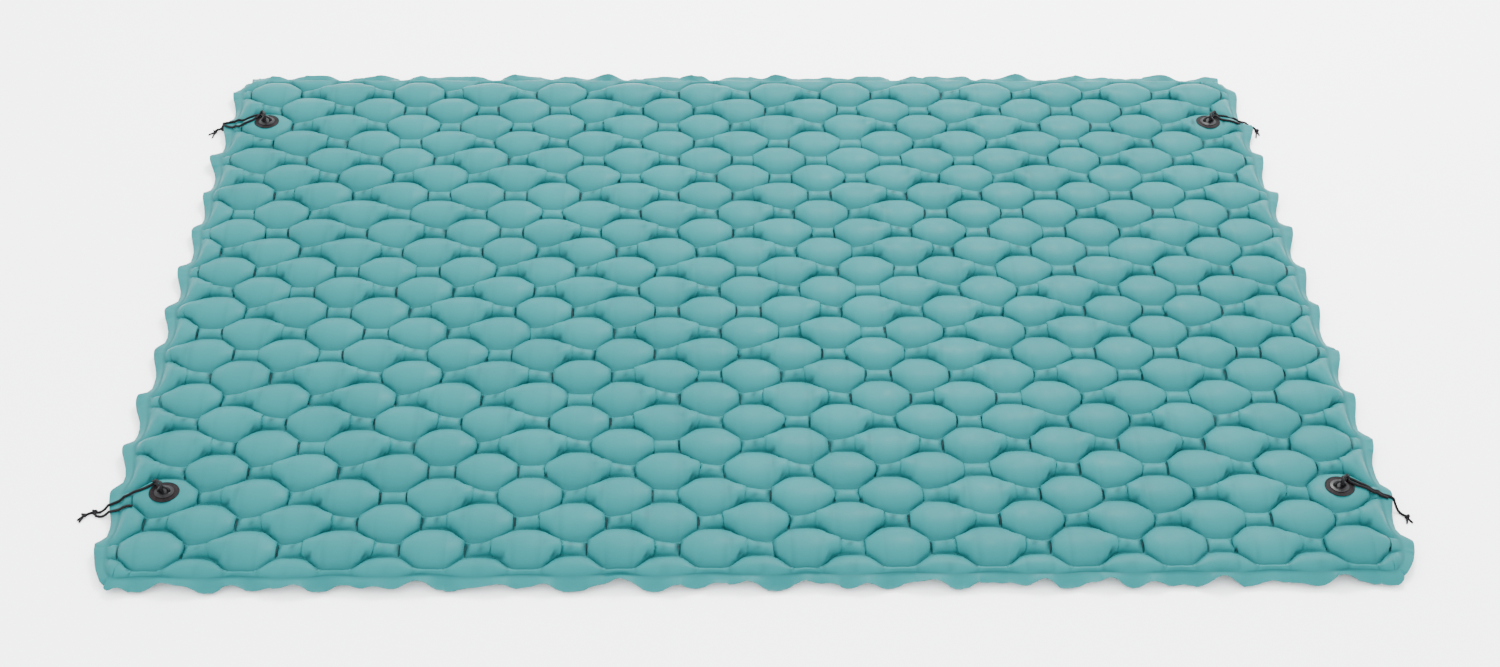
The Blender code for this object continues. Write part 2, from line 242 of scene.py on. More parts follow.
# Cords. Routes are in millimetres from the centre of the corner's eyelet: outwards, rearwards, and above
# the floor.
CORD = 0.005
CORD_STEP = 0.0008
CORD_SIDES = 20
CORD_BEND = 0.022
SETTLE_ROUNDS = 250
COVER = 1.2
END_ROUND = 3
END_FLAT = 0.2
BRAID_PITCH = 0.0072
BRAID_STRANDS = 4
BRAID_DEPTH = 0.06
KNOT_SCALE = 0.0017
KNOT_STRAND = 0.44
KNOT_STEPS = 72
KNOT_RISE = 1.25
TIP_STRAND = 0.46
END_DROOP = 0.0002
KNOT_LIFT = 0.0050
HITCH_KNOTS = {
    "front_left": (24, 27, 53.5),
    "rear_left": (20, 33, 53.5),
    "rear_right": (26, 34, 53.5),
    "front_right": (22, 25, 54),
}
END_KNOTS = {
    "front_left": (156, -18, 6.5),
    "rear_left": (129, 24, 26.5),
    "rear_right": (129, 46, 26.5),
    "front_right": (147, -56, 6.5),
}
STOPPER_KNOTS = {
    "front_left": (177, -29, 6.5),
    "rear_left": (150, 12, 6.5),
    "rear_right": (148, 19, 6.5),
}
TETHERS = {
    "front_left": [(38, 18, 52.8), (50, 9, 52.8), (62, 4, 51.8), (75, 0, 49), (88, -4, 44), (100, -8, 37),
                   (111, -11, 31.5), (122, -13, 27), (131, -15, 22.8), (140, -17, 16.5),
                   (147, -18, 11)],
    "rear_left": [(34, 32, 51.5), (47, 27, 49.5), (60, 25, 47.5), (74, 26, 44), (87, 28, 39.8),
                  (99, 29, 35.5), (109, 28, 31.5), (118, 26, 28.5)],
    "rear_right": [(39, 31, 51), (51, 26, 49), (64, 27, 45.5), (78, 32, 42), (91, 31, 38.5), (103, 29, 34),
                   (113, 32, 30), (121, 38, 27.8)],
    "front_right": [(35, 20, 53.2), (46, 10, 52.2), (57, 3, 51), (68, -2, 49), (79, -5, 45.5),
                    (90, -7, 41.5), (101, -9, 36), (111, -12, 31.5), (119, -17, 28.2), (125, -25, 26),
                    (131, -36, 23.6), (138, -46, 17.5)],
}
TAILS = {
    "front_left": [(152, -28, 11.5), (142, -32, 19.5), (129, -33, 26), (116, -34, 30.5), (103, -37, 35.5),
                   (90, -39, 40.5), (77, -40, 43.5), (62, -41, 43.5)],
    "rear_left": [(27, 20, 53), (37, 8, 52.8), (49, -3, 52), (63, -9, 50.5), (76, -10, 47.5), (89, -5, 42),
                  (101, 1, 35.5), (117, 10, 29)],
    "rear_right": [(29, 22, 53.2), (37, 12, 52.8), (47, 4, 52.2), (58, -2, 51), (69, -7, 49), (80, -9, 46),
                   (90, -7, 42.5)],
    "front_right": [(26, 13, 53.8), (35, 4, 52.8), (46, -2, 51.6), (58, -6, 49.6), (70, -9, 47),
                    (82, -11.5, 43.5), (93, -13.5, 39), (103, -16, 34), (110, -21, 31)],
}
LOOP_SIDE = 3.5
LOOP_SLACK = 1.1
LOOP_LOW = 55.2
CORD_ENDS = {
    "front_left": [(167, -21, 6)],
    "rear_left": [(138, 27, 20.5), (145, 27, 13), (149, 22, 8.5)],
    "rear_right": [(138, 43, 20.5), (144, 37, 13.5), (147, 29, 9)],
}
TIPS = {
    "front_left": [[(184, -36, 5), (190, -44, 3)], [(181, -39, 4.5), (184, -51, 3)]],
    "rear_left": [[(159, 7, 5), (167, -1, 3)], [(152, 0, 4), (154, -16, 3)]],
    "rear_right": [[(151, 9, 4.5), (152, -3, 3)], [(144, 2, 4.5), (140, -15, 3)]],
    "front_right": [[(151, -65, 4), (156, -76, 3)], [(145, -66, 4), (142, -78, 3)]],
}


# The camera and the cords

def make_camera():
    camera = bpy.data.objects.new("camera", bpy.data.cameras.new("camera"))
    bpy.context.scene.collection.objects.link(camera)
    camera.data.lens = CAMERA_LENS
    camera.data.sensor_width = CAMERA_SENSOR
    camera.data.clip_end = CAMERA_END
    pitch, yaw, roll = (math.radians(angle) for angle in (CAMERA_PITCH, CAMERA_YAW, CAMERA_ROLL))
    forward = Vector((math.sin(yaw) * math.cos(pitch), math.cos(yaw) * math.cos(pitch), -math.sin(pitch)))
    right = forward.cross(Vector((0, 0, 1))).normalized()
    right = math.cos(roll) * right + math.sin(roll) * right.cross(forward)
    turn = Matrix((right, right.cross(forward), -forward)).transposed()
    camera.matrix_world = Matrix.Translation(Vector(CAMERA_PLACE)) @ turn.to_4x4()
    bpy.context.scene.camera = camera


def corner_point(corner, millimetres):
    """A route's point, outwards and rearwards from the eyelet and above the floor, as a place in metres."""
    out, back, up = (value / 1000 for value in millimetres)
    return Vector((TIES[corner].centre.x + CORNERS[corner][0] * out, TIES[corner].centre.y + back, up))


def smooth_route(points, spacing):
    """Points about spacing apart on the smooth curve through the given ones."""
    ends = [2 * points[0] - points[1], *points, 2 * points[-1] - points[-2]]
    route = [points[0]]
    for before, start, end, after in zip(ends, ends[1:], ends[2:], ends[3:]):
        count = max(1, round((end - start).length / spacing))
        leave = start + (end - before) / 6
        arrive = end - (after - start) / 6
        route += interpolate_bezier(start, leave, arrive, end, count + 1)[1:]
    return route


# The film

def wave(x):
    """+1 where an odd row has a bump, -1 where an even row has one."""
    phase = ((x + CHAMBER_X) / PITCH_X) % 1.0
    return np.clip(WAVE_STEEPNESS * (1 - 4 * np.abs(phase - 0.5)), -1, 1)


def soft_wave(x):
    """The wave with its corners rounded, as a weld is."""
    shifts = np.linspace(-WAVE_ROUNDING, WAVE_ROUNDING, 9)
    return sum(wave(x + shift) for shift in shifts) / len(shifts)


def smooth_noise(shape, cells, rng):
    """Random values from -1 to 1 that vary over about the given number of cells in each direction."""
    field = rng.uniform(-1, 1, [math.ceil(n / c) + 2 for n, c in zip(shape, cells)])
    for axis, (count, cell) in enumerate(zip(shape, cells)):
        at = np.arange(count) / cell
        low = at.astype(int)
        share = at - low
        share = np.expand_dims(share * share * (3 - 2 * share), 1 - axis)
        field = np.take(field, low, axis) * (1 - share) + np.take(field, low + 1, axis) * share
    return field


def ripple(at, length, rng):
    """A wavy line with crests about length apart, no two alike, from about -1 to 1."""
    total = np.zeros_like(at)
    for factor, share in RIPPLE_PARTS:
        wander = RIPPLE_WANDER * length * math.sin(rng.uniform(0, 6))
        wander = wander * np.sin(at / (RIPPLE_WANDER_PITCH * length) + rng.uniform(0, 6))
        total += share * np.sin(math.tau * (at + wander) / (length * factor) + rng.uniform(0, math.tau))
    return total


def grid_columns():
    """(x, flat x, is a weld) of each column, from left to right, closer together where creases form."""
    inner = CHAMBER_X - WELD_BAND
    close = CREASE_CELL / PITCH_X * np.arange(-CREASE_CELLS, CREASE_CELLS + 1)
    phases = []
    for start, end, cells in zip(CREASE_PHASES, (*CREASE_PHASES[1:], 1 + CREASE_PHASES[0]), SPAN_CELLS):
        phases += list(start + close[:-1])
        phases += list(np.linspace(start + close[-1], end + close[0], cells + 1)[:-1])
    places = [period + phase for period in range(-1, PERIODS) for phase in phases]
    chamber = np.array([place * PITCH_X - CHAMBER_X for place in places])
    chamber = chamber[abs(chamber) < inner - CREASE_CELL]
    rim = CHAMBER_X + FLANGE * np.arange(CELLS_FLANGE + 1) / CELLS_FLANGE
    x = np.concatenate([-rim[::-1], [-inner], chamber, [inner], rim])
    outside = np.maximum(abs(x) - CHAMBER_X, 0)
    flat = np.sign(x) * (np.minimum(abs(x), CHAMBER_X) * FLAT_STRETCH_X + outside)
    weld = (abs(abs(x) - CHAMBER_X) < 1e-6) | (abs(abs(x) - inner) < 1e-6)
    return x, flat, weld


def row_curves(x, pitch, amplitude):
    """The y of every grid row at each x, which rows are welds, and which tube each is in.

    It takes the distance between two seams and how far each of them waves.
    """
    side_y = ROWS * pitch / 2
    curves, weld, tube_of = [], [], []

    def add(y, is_weld, tube=-1):
        curves.append(np.broadcast_to(y, x.shape))
        weld.append(is_weld)
        tube_of.append(tube)

    for i in range(CELLS_FLANGE):
        add(-side_y - FLANGE * (1 - i / CELLS_FLANGE), False)
    add(-side_y, True)
    lower = np.full_like(x, WELD_BAND - side_y)
    add(lower, True)
    for k in range(ROWS + 1):
        seam = -side_y + (k + 0.5) * pitch + (1 if k % 2 else -1) * amplitude * soft_wave(x)
        upper = seam - WELD_BAND / 2 if k < ROWS else np.full_like(x, side_y - WELD_BAND)
        cells = CELLS_HALF_ROW if k in (0, ROWS) else CELLS_ROW
        for i in range(1, cells):
            share = i / cells - ROW_GATHER * math.sin(math.tau * i / cells)
            add(lower + (upper - lower) * share, False, k)
        add(upper, True)
        lower = upper + WELD_BAND
        add(lower, True)
    for i in range(1, CELLS_FLANGE + 1):
        add(side_y + FLANGE * i / CELLS_FLANGE, False)
    return np.array(curves), np.array(weld), np.array(tube_of)


def crease_film(column_x, tube_of, rng):
    """(the spare film in each row up to each column, how full each tube is there), from the creases.

    Spare film gathers in a sharp crease at one or both ends of a bridge. A bridge with one crease tapers down
    to it, and runs full and smooth into the bump at its other end.
    """
    spare = np.zeros((len(tube_of), len(column_x)))
    full = np.ones_like(spare)
    for tube in range(1, ROWS):
        middle = 0.0 if tube % 2 else 0.5
        here = tube_of == tube
        for period in range(PERIODS + 1):
            pattern = CREASE_PATTERNS[rng.choice(len(CREASE_PATTERNS), p=CREASE_SHARES)]
            offset = (column_x + CHAMBER_X) / PITCH_X - period - middle
            ease = np.where(np.where(offset < 0, *pattern), TAPER_END, TAPER_EASE)
            on_bridge = smooth_step((CREASE_PHASES[0] + ease - abs(offset)) / ease)
            across = np.clip(0.5 + offset / (2 * CREASE_PHASES[0]), 0, 1)
            if sum(pattern) == 2:
                left = right = TAPER_BOTH
            else:
                left, right = (TAPER_THIN if end else TAPER_FULL for end in pattern)
            full[here] *= 1 + on_bridge * (left + (right - left) * across - 1)
            for side, strength in zip((-1, 1), pattern):
                place = (period + middle + side * CREASE_PHASES[0]) * PITCH_X - CHAMBER_X
                double = rng.random() < CREASE_DOUBLE
                size = strength * CREASE_SPARE * rng.uniform(*CREASE_SIZES)
                size *= CREASE_DOUBLE_SIZE if double else 1
                shift = rng.integers(-1, 2)
                if abs(place) > CHAMBER_X - 3 * CREASE_CELL:
                    continue
                column = np.argmin(abs(column_x - place)) + shift
                for valley in (column - 1, column + 1) if double else (column,):
                    spare[here, valley:valley + 2] += size / 2
    return np.cumsum(spare, axis=1), full


def smooth_step(share):
    share = np.clip(share, 0, 1)
    return share * share * (3 - 2 * share)


def lobes(y, rng):
    """The side edge's lobes, one at each odd tube: each rises gently from the front and drops sharply."""
    at = np.clip((y + CHAMBER_Y) / (2 * PITCH_Y), 0, ROWS / 2 - 1e-6)
    number = at.astype(int)
    place = at - number - 0.5 + rng.uniform(-LOBE_SHIFT, LOBE_SHIFT, ROWS // 2)[number]
    size = rng.uniform(*LOBE_SIZES, ROWS // 2)[number]
    rising = smooth_step((place + 0.5) / LOBE_RISE)
    falling = 1 - smooth_step((place - LOBE_PEAK) / LOBE_FALL)
    return size * np.where(place < LOBE_PEAK, rising, falling)


def shape_edge(x, y, rng):
    """(how far each point is drawn in along X, along Y, and how far it is lifted), at and near the edge."""
    out_x = np.clip((abs(x) - CHAMBER_X) / FLANGE, 0, 1)
    out_y = np.clip((abs(y) - CHAMBER_Y) / FLANGE, 0, 1)
    near_x = np.exp(-np.maximum(CHAMBER_X - abs(x), 0) / SCALLOP_REACH)
    near_y = np.exp(-np.maximum(CHAMBER_Y - abs(y), 0) / SCALLOP_REACH)
    phase = ((x + CHAMBER_X) / PITCH_X) % 1.0
    ridge = RIDGE_RISE * np.exp(-(((phase - 0.5) * PITCH_X / RIDGE_WIDTH) ** 2))
    pinch = (0.5 - 0.5 * np.cos(math.tau * phase)) ** PINCH_POWER
    pull_x, pull_y, lift_x, lift_y = (np.zeros_like(x) for _ in range(4))
    for side in (-1, 1):
        lobe = lobes(y, rng)
        here = np.sign(x) == side
        pull_x += here * (1 - lobe) * (SIDE_SCALLOP * near_x + SIDE_FOLD * FLANGE * out_x)
        lift_x += here * out_x * (SIDE_RIPPLE * ripple(y, 2 * PITCH_Y, rng) - SIDE_DROP * (1 - lobe))
        drop, height = (REAR_DROP, REAR_RIPPLE) if side > 0 else (FRONT_DROP, FRONT_RIPPLE)
        waves = ripple(x, RIPPLE_PITCH, rng)
        here = np.sign(y) == side
        scallop = PINCH_SHARE * pinch + WAVES_SHARE * np.clip(waves, 0, 1)
        pull_y += here * FRONT_SCALLOP * near_y * scallop
        pull_y += here * FRONT_FOLD * FLANGE * out_y * (0.5 + 0.5 * np.clip(waves, -1, 1))
        lift_y += here * out_y * (height * waves - drop + ridge)
    return pull_x, pull_y, np.clip(lift_x + lift_y, -MOST_LIFT, MOST_LIFT)


def round_corners(x, y):
    """The outline turns its corners on a curve."""
    across = np.maximum(abs(x) - CHAMBER_X - FLANGE + CORNER_ROUND, 0) / CORNER_ROUND
    along = np.maximum(abs(y) - CHAMBER_Y - FLANGE + CORNER_ROUND, 0) / CORNER_ROUND
    reach = (across**CORNER_POWER + along**CORNER_POWER) ** (1 / CORNER_POWER)
    shrink = np.where((across > 0) & (along > 0), np.maximum(across, along) / np.maximum(reach, 1e-9), 1)
    round_x = x - np.sign(x) * (1 - shrink) * across * CORNER_ROUND
    round_y = y - np.sign(y) * (1 - shrink) * along * CORNER_ROUND
    return round_x, round_y


def weld_distance(y, weld_row):
    """How far each point is from the nearer weld, across its tube."""
    rows = np.arange(len(y))
    welds = rows[weld_row]
    below = welds[np.maximum(np.searchsorted(welds, rows, "right") - 1, 0)]
    above = welds[np.minimum(np.searchsorted(welds, rows), len(welds) - 1)]
    return np.minimum(y - y[below], y[above] - y)


def film_grid(crease_rng, rng):
    """The film: where its points start, where they are on the flat film, and which of them are welded."""
    column_x, flat_x, weld_column = grid_columns()
    y, weld_row, tube_of = row_curves(column_x, PITCH_Y, WAVE)
    flat_y = row_curves(column_x, FLAT_PITCH_Y, FLAT_WAVE)[0]
    size = y.shape
    x = np.broadcast_to(column_x, size)
    spare, full = crease_film(column_x, tube_of, crease_rng)
    inside = (abs(x) < CHAMBER_X + 1e-6) & (abs(y) < CHAMBER_Y + 1e-6)
    weld = inside & (weld_row[:, None] | weld_column[None, :])
    room = np.minimum(weld_distance(y, weld_row), CHAMBER_X - abs(x))
    room = np.minimum(room, CHAMBER_Y - abs(y))
    pull_x, pull_y, lift = shape_edge(x, y, rng)
    lift += FLANGE_CRUMPLE * smooth_noise(size, (2, 3), rng) * np.clip(-room / FLANGE, 0, 1)
    rise = np.where(inside, START_SLOPE * room + START_ROUGHNESS * smooth_noise(size, (3, 6), rng), lift)
    gathered = np.diff(spare, axis=1, prepend=0)
    rise -= inside * START_CREASE * np.minimum(gathered, np.roll(gathered, -1, axis=1))
    rise[weld] = 0
    ripple_z = WELD_RIPPLE * smooth_noise(size, (9, 12), rng)
    drift_x, drift_y = (WELD_DRIFT * smooth_noise(size, (9, 14), rng) for _ in range(2))
    round_x, round_y = round_corners(x, y)
    start = np.stack([round_x - np.sign(x) * pull_x + drift_x, round_y - np.sign(y) * pull_y + drift_y,
                      WELD_Z + ripple_z + rise], -1)
    flat = np.stack([flat_x + round_x - x, flat_y + round_y - y, np.zeros(size)], -1)
    return SimpleNamespace(start=start, flat=flat, spare=spare, full=full, weld=weld, inside=inside,
                           weld_ripple=ripple_z)


def spaced(size, apart, turn, stride):
    """Two slices of one axis, apart from each other, that take every stride-th place from turn on."""
    count = len(range(turn, size - apart, stride))
    last = turn + (count - 1) * stride + 1
    return slice(turn, last, stride), slice(turn + apart, last + apart, stride)


def make_links(film, free):
    """Every pair of grid points that the film joins, in groups in which no point is an end of two pairs."""
    links = []
    height, width = free.shape
    for down, along, pull, push in LINK_KINDS:
        step = max(down, along)
        for turn in range(2 * step):
            if down:
                rows_a, rows_b = spaced(height, down, turn, 2 * step)
                columns_a = slice(max(0, -along), width - max(0, along))
                columns_b = slice(max(0, along), width - max(0, -along))
            else:
                rows_a = rows_b = slice(None)
                columns_a, columns_b = spaced(width, along, turn, 2 * step)
            a, b = (rows_a, columns_a), (rows_b, columns_b)
            spare = film.spare
            across = film.flat[b] - film.flat[a]
            across[..., 0] += (spare[rows_a, columns_b] - spare[a] + spare[b] - spare[rows_b, columns_a]) / 2
            across[..., 1] *= (film.full[a] + film.full[b]) / 2
            rest = np.linalg.norm(across, axis=-1)[..., None]
            both = np.maximum(free[a] + free[b], 1)
            group = (rest, (free[a] / both)[..., None], (free[b] / both)[..., None])
            links.append((a, b, *(part.astype(np.float32) for part in group), pull, push))
    return links


def tighten(points, links):
    """Moves each pair of joined points towards the distance that the flat film gives them."""
    for a, b, rest, share_a, share_b, pull, push in links:
        gap = points[b] - points[a]
        length = np.sqrt(np.einsum("ijk,ijk->ij", gap, gap))[..., None] + 1e-9
        error = 1 - rest / length
        gap *= np.where(error > 0, pull * error, push * error)
        points[a] += gap * share_a
        points[b] -= gap * share_b


def normals_of(points):
    normal = np.cross(np.gradient(points, axis=1), np.gradient(points, axis=0))
    return normal / (np.linalg.norm(normal, axis=-1, keepdims=True) + 1e-12)


def inflate(film, start, held, limit):
    """Blows the film up: air pushes it out along its normals, and it hardly stretches."""
    links = make_links(film, (~held).astype(float))
    points = start.astype(np.float32)
    fixed = points[held].copy()
    before = points.copy()
    for step in range(STEPS):
        points, before = points + KEEP_SPEED * (points - before), points
        if step % 2 == 0:
            push = (AIR_PUSH * normals_of(points)).astype(np.float32)
        points += push
        tighten(points, links)
        points[held] = fixed
        limit(points)
    return points.astype(float)


# Meshes

def add_piece(name, data, material, body="mat"):
    data.materials.append(material)
    piece = bpy.data.objects.new(name, data)
    bpy.context.scene.collection.objects.link(piece)
    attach(piece, body)
    return piece


def mesh_of(name, points, faces):
    mesh = bpy.data.meshes.new(name)
    mesh.from_pydata(points, [], faces)
    mesh.shade_smooth()
    return mesh


def grid_faces(shape, upward):
    """The squares between the points of a grid, wound so that they face up or down."""
    index = np.arange(shape[0] * shape[1]).reshape(shape)
    corners = [index[:-1, :-1], index[:-1, 1:], index[1:, 1:], index[1:, :-1]]
    return np.stack(corners if upward else corners[::-1], -1).reshape(-1, 4)


def film_mesh(name, points, film, upward):
    weld = film.weld
    mesh = mesh_of(name, points.reshape(-1, 3), grid_faces(weld.shape, upward).tolist())
    # The second mark is painted shade: how far the film dips below the film two columns to each side, which
    # darkens it in creases
    height = points[..., 2] if upward else -points[..., 2]
    crease_shade = np.zeros(weld.shape)
    crease_shade[:, 2:-2] = (height[:, 4:] + height[:, :-4]) / 2 - height[:, 2:-2]
    for label, values in (("weld", weld), ("crease_shade", np.clip(crease_shade / CREASE_SHADE_DEPTH, 0, 1) * (film.inside & ~weld))):
        mark = mesh.attributes.new(label, "FLOAT", "POINT")
        mark.data.foreach_set("value", values.astype(np.float32).ravel())
    return mesh


def cut_round_hole(mesh, centre, radius):
    """A round hole in a flat stretch of a film, whose squares are first made small round it."""
    def away(place):
        return (place - centre).to_2d().length

    film = bmesh.new()
    film.from_mesh(mesh)
    near = [edge for edge in film.edges if all(away(point.co) < HOLE_FINE * radius for point in edge.verts)]
    bmesh.ops.subdivide_edges(film, edges=near, cuts=3, use_grid_fill=True)
    inner = [face for face in film.faces if away(face.calc_center_median()) < radius]
    bmesh.ops.delete(film, geom=inner, context="FACES")
    for edge in film.edges:
        if edge.is_boundary:
            for point in edge.verts:
                out = (point.co - centre).to_2d()
                if out.length < HOLE_EDGE * radius:
                    out = out.normalized() * radius
                    point.co.x, point.co.y = centre.x + out.x, centre.y + out.y
    film.to_mesh(mesh)
    film.free()


def tube_frames(path, closed):
    """Two directions square to the path at each of its points, which turn no more than the path does."""
    count = len(path)
    if closed:
        ends = [path[-1], *path, path[0]]
    else:
        ends = [path[0], *path, path[-1]]
    along = [(after - before).normalized() for before, after in zip(ends, ends[2:])]
    side = along[0].orthogonal().normalized()
    frames = []
    for direction in along:
        side = (side - side.dot(direction) * direction).normalized()
        frames.append((side, direction.cross(side)))
    if closed:
        last = frames[-1][0] - frames[-1][0].dot(along[0]) * along[0]
        twist = math.atan2(last.dot(frames[0][1]), last.dot(frames[0][0]))
        for i, (side, up) in enumerate(frames):
            turn = -twist * i / count
            frames[i] = (math.cos(turn) * side + math.sin(turn) * up,
                         math.cos(turn) * up - math.sin(turn) * side)
    return frames


def braid_parts(path, radius, closed, first=0):
    """(points, faces) of a braided cord along a path: its strands cross, and stand out a little."""
    frames = tube_frames(path, closed)
    points, faces, travelled = [], [], 0.0
    count = len(path)
    for i, (place, (side, up)) in enumerate(zip(path, frames)):
        travelled += (place - path[i - 1]).length if i else 0
        inset = 1.0
        if not closed:
            from_end = min(i, count - 1 - i) / END_ROUND
            inset = math.sqrt(max(1 - (1 - min(from_end, 1)) ** 2, END_FLAT**2))
        for j in range(CORD_SIDES):
            angle = math.tau * j / CORD_SIDES
            turn = math.tau * travelled / BRAID_PITCH
            strand = math.sin(BRAID_STRANDS * angle + turn) * math.sin(BRAID_STRANDS * angle - turn)
            reach = radius * inset * (1 + BRAID_DEPTH * strand)
            points.append(place + reach * (math.cos(angle) * side + math.sin(angle) * up))
    for i in range(count if closed else count - 1):
        ring, after = i * CORD_SIDES, (i + 1) % count * CORD_SIDES
        for j in range(CORD_SIDES):
            k = (j + 1) % CORD_SIDES
            faces.append([first + value for value in (ring + j, ring + k, after + k, after + j)])
    if not closed:
        faces.append([first + j for j in reversed(range(CORD_SIDES))])
        faces.append([first + (count - 1) * CORD_SIDES + j for j in range(CORD_SIDES)])
    return points, faces


def make_braid(name, strands, material):
    """One piece of one or more braided strands: (path, radius, is closed) of each."""
    points, faces = [], []
    for path, radius, closed in strands:
        more_points, more_faces = braid_parts(path, radius, closed, len(points))
        points += more_points
        faces += more_faces
    return add_piece(name, mesh_of(name, points, faces), material)


def lathe(profile, steps):
    """(points, faces) of a profile of radius and height turned about Z, from its top down to its base."""
    points = [Vector((0, 0, profile[0][1]))]
    angles = [math.tau * i / steps for i in range(steps)]
    for radius, height in profile[1:-1]:
        points += [Vector((radius * math.cos(angle), radius * math.sin(angle), height)) for angle in angles]
    points.append(Vector((0, 0, profile[-1][1])))
    faces = [[0, 1 + i, 1 + (i + 1) % steps] for i in range(steps)]
    rings = len(profile) - 2
    for ring in range(rings - 1):
        a, b = 1 + ring * steps, 1 + (ring + 1) * steps
        faces += [[a + i, b + i, b + (i + 1) % steps, a + (i + 1) % steps] for i in range(steps)]
    base, last = 1 + (rings - 1) * steps, len(points) - 1
    faces += [[base + (i + 1) % steps, base + i, last] for i in range(steps)]
    return points, faces


# The tie points

def tie_point(corner):
    """Where a corner's disc and eyelet are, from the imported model."""
    low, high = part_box(f"eyelet_patch_{corner}")
    boss_low, boss_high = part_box(f"eyelet_{corner}")
    return SimpleNamespace(
        centre=(low + high) / 2, radius=(high.x - low.x) / 2, underside=low.z, top=high.z,
        boss_base=boss_low.z, boss_radius=(boss_high.x - boss_low.x) / 2, arch_top=boss_high.z)


def make_disc(corner, material):
    """The welded disc: thin, with a rounded rim and a weld ring pressed into it."""
    tie = TIES[corner]
    radius, thick = tie.radius, tie.top - tie.underside
    face = [(radius * share, thick * (0.5 - dip)) for share, dip in DISC_FACE]
    rim = [(radius - thick * (1 - math.sin(a)) / 2, thick / 2 * math.cos(a)) for a in
           (math.pi * i / DISC_RIM_STEPS for i in range(1, DISC_RIM_STEPS))]
    under = (radius * DISC_UNDER, -thick / 2)
    points, faces = lathe([(0, thick / 2), *face, *rim, under, (0, -thick / 2)], DISC_STEPS)
    wobble = CORNERS[corner][0] + 2 * CORNERS[corner][1]
    for point in points:
        angle = math.atan2(point.y, point.x)
        out = 1 - DISC_WOBBLE * (0.5 + 0.5 * math.sin(3 * angle + wobble)) * point.to_2d().length / radius
        point.x *= out
        point.y *= out
    mesh = mesh_of("disc", [tie.centre + point for point in points], faces)
    piece = add_piece(f"tie_disc_{corner}", mesh, material)
    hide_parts(f"eyelet_patch_{corner}")


def make_eyelet(corner, material):
    """The moulded eyelet: a round boss and an arch, melted together so that they meet in a fillet."""
    tie = TIES[corner]
    centre = Vector((tie.centre.x, tie.centre.y, tie.boss_base))
    points, faces = lathe([(share * tie.boss_radius, height) for share, height in BOSS_PROFILE], DISC_STEPS)
    wire_centre = tie.arch_top - tie.boss_base - ARCH_WIRE - ARCH_RADIUS
    for i in range(ARCH_STEPS + 1):
        angle = math.pi * i / ARCH_STEPS
        out, up = math.cos(angle), math.sin(angle)
        foot = 1 + ARCH_FOOT * (1 - up) ** 2
        start = len(points)
        base = Vector((ARCH_RADIUS * out * (1 + ARCH_SPLAY * (1 - up)), 0, wire_centre + ARCH_RADIUS * up))
        if i in (0, ARCH_STEPS):
            base.z = ARCH_BASE
        for j in range(ARCH_SIDES):
            turn = math.tau * j / ARCH_SIDES
            across = ARCH_WIRE * (foot * ARCH_WIDE * math.sin(turn))
            outward = ARCH_WIRE * foot * ARCH_DEEP * math.cos(turn)
            points.append(base + Vector((outward * out, across, outward * up)))
        if i:
            faces += [[start - ARCH_SIDES + j, start - ARCH_SIDES + (j + 1) % ARCH_SIDES,
                       start + (j + 1) % ARCH_SIDES, start + j] for j in range(ARCH_SIDES)]
        else:
            faces.append([start + j for j in reversed(range(ARCH_SIDES))])
    faces.append([len(points) - ARCH_SIDES + j for j in range(ARCH_SIDES)])
    mesh = mesh_of("eyelet", [centre + point for point in points], faces)
    piece = add_piece(f"tie_eyelet_{corner}", mesh, material)
    melt = piece.modifiers.new("Melt", "REMESH")
    melt.mode = "VOXEL"
    melt.voxel_size = EYELET_VOXEL
    melt.use_smooth_shade = True
    soften = piece.modifiers.new("Soften", "SMOOTH")
    soften.iterations = EYELET_SMOOTHING
    soften.factor = 0.5
    graph = bpy.context.evaluated_depsgraph_get()
    melted = bpy.data.meshes.new_from_object(piece.evaluated_get(graph))
    piece.modifiers.clear()
    piece.data = melted
    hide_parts(f"eyelet_{corner}")


# The cords

def resting_height(film, place):
    """The height of what is under a cord there: the film, a disc and its boss, or the floor."""
    height = 0.0
    for shift_x, shift_y in ((0, 0), (0.4, 0), (-0.4, 0), (0, 0.4), (0, -0.4)):
        above = Vector((place.x + shift_x * CORD, place.y + shift_y * CORD, 2 * HEIGHT))
        hit = film.ray_cast(above, Vector((0, 0, -1)))[0]
        if hit:
            height = max(height, hit.z)
    for tie in TIES.values():
        out = (place - tie.centre).to_2d().length
        if out < tie.radius + CORD / 2:
            height = max(height, tie.top)
        if out < tie.boss_radius + CORD / 2:
            slope = min(1, (tie.boss_radius + CORD / 2 - out) / BOSS_SLOPE)
            height = max(height, tie.boss_base + BOSS_HEIGHT * slope)
    return height


def settle(route, film, radius, ends):
    """The route let down onto what is under it, which a limp cord follows, with a limit to its bends."""
    lowest = [resting_height(film, place) + radius for place in route]
    heights = list(lowest)
    for end, held in zip((0, -1), ends):
        if held is not None:
            heights[end] = held
    first, last = (1 if ends[0] is not None else 0), (-1 if ends[1] is not None else 0)
    steps = [(b - a).to_2d().length for a, b in zip(route, route[1:])]
    for _ in range(SETTLE_ROUNDS):
        for i in range(1, len(route) - 1):
            sag = steps[i - 1] * steps[i] / (2 * CORD_BEND)
            heights[i] = max(lowest[i], (heights[i - 1] + heights[i + 1]) / 2 - sag)
        if not first:
            heights[0] = max(lowest[0], heights[1] - END_DROOP)
        if not last:
            heights[-1] = max(lowest[-1], heights[-2] - END_DROOP)
    return [Vector((place.x, place.y, height)) for place, height in zip(route, heights)]


def knot_path(centre, turn, scale):
    """The closed line of a tight knot, which crosses itself three times, turned, and flat where it lies."""
    tilt = Euler(turn).to_matrix()
    path = []
    for i in range(KNOT_STEPS):
        a = math.tau * i / KNOT_STEPS
        spot = Vector((math.sin(a) + 2 * math.sin(2 * a), math.cos(a) - 2 * math.cos(2 * a),
                       -KNOT_RISE * math.sin(3 * a)))
        place = centre + scale * (tilt @ spot)
        place.z = max(place.z, centre.z - KNOT_LIFT + KNOT_STRAND * CORD)
        path.append(place)
    return path


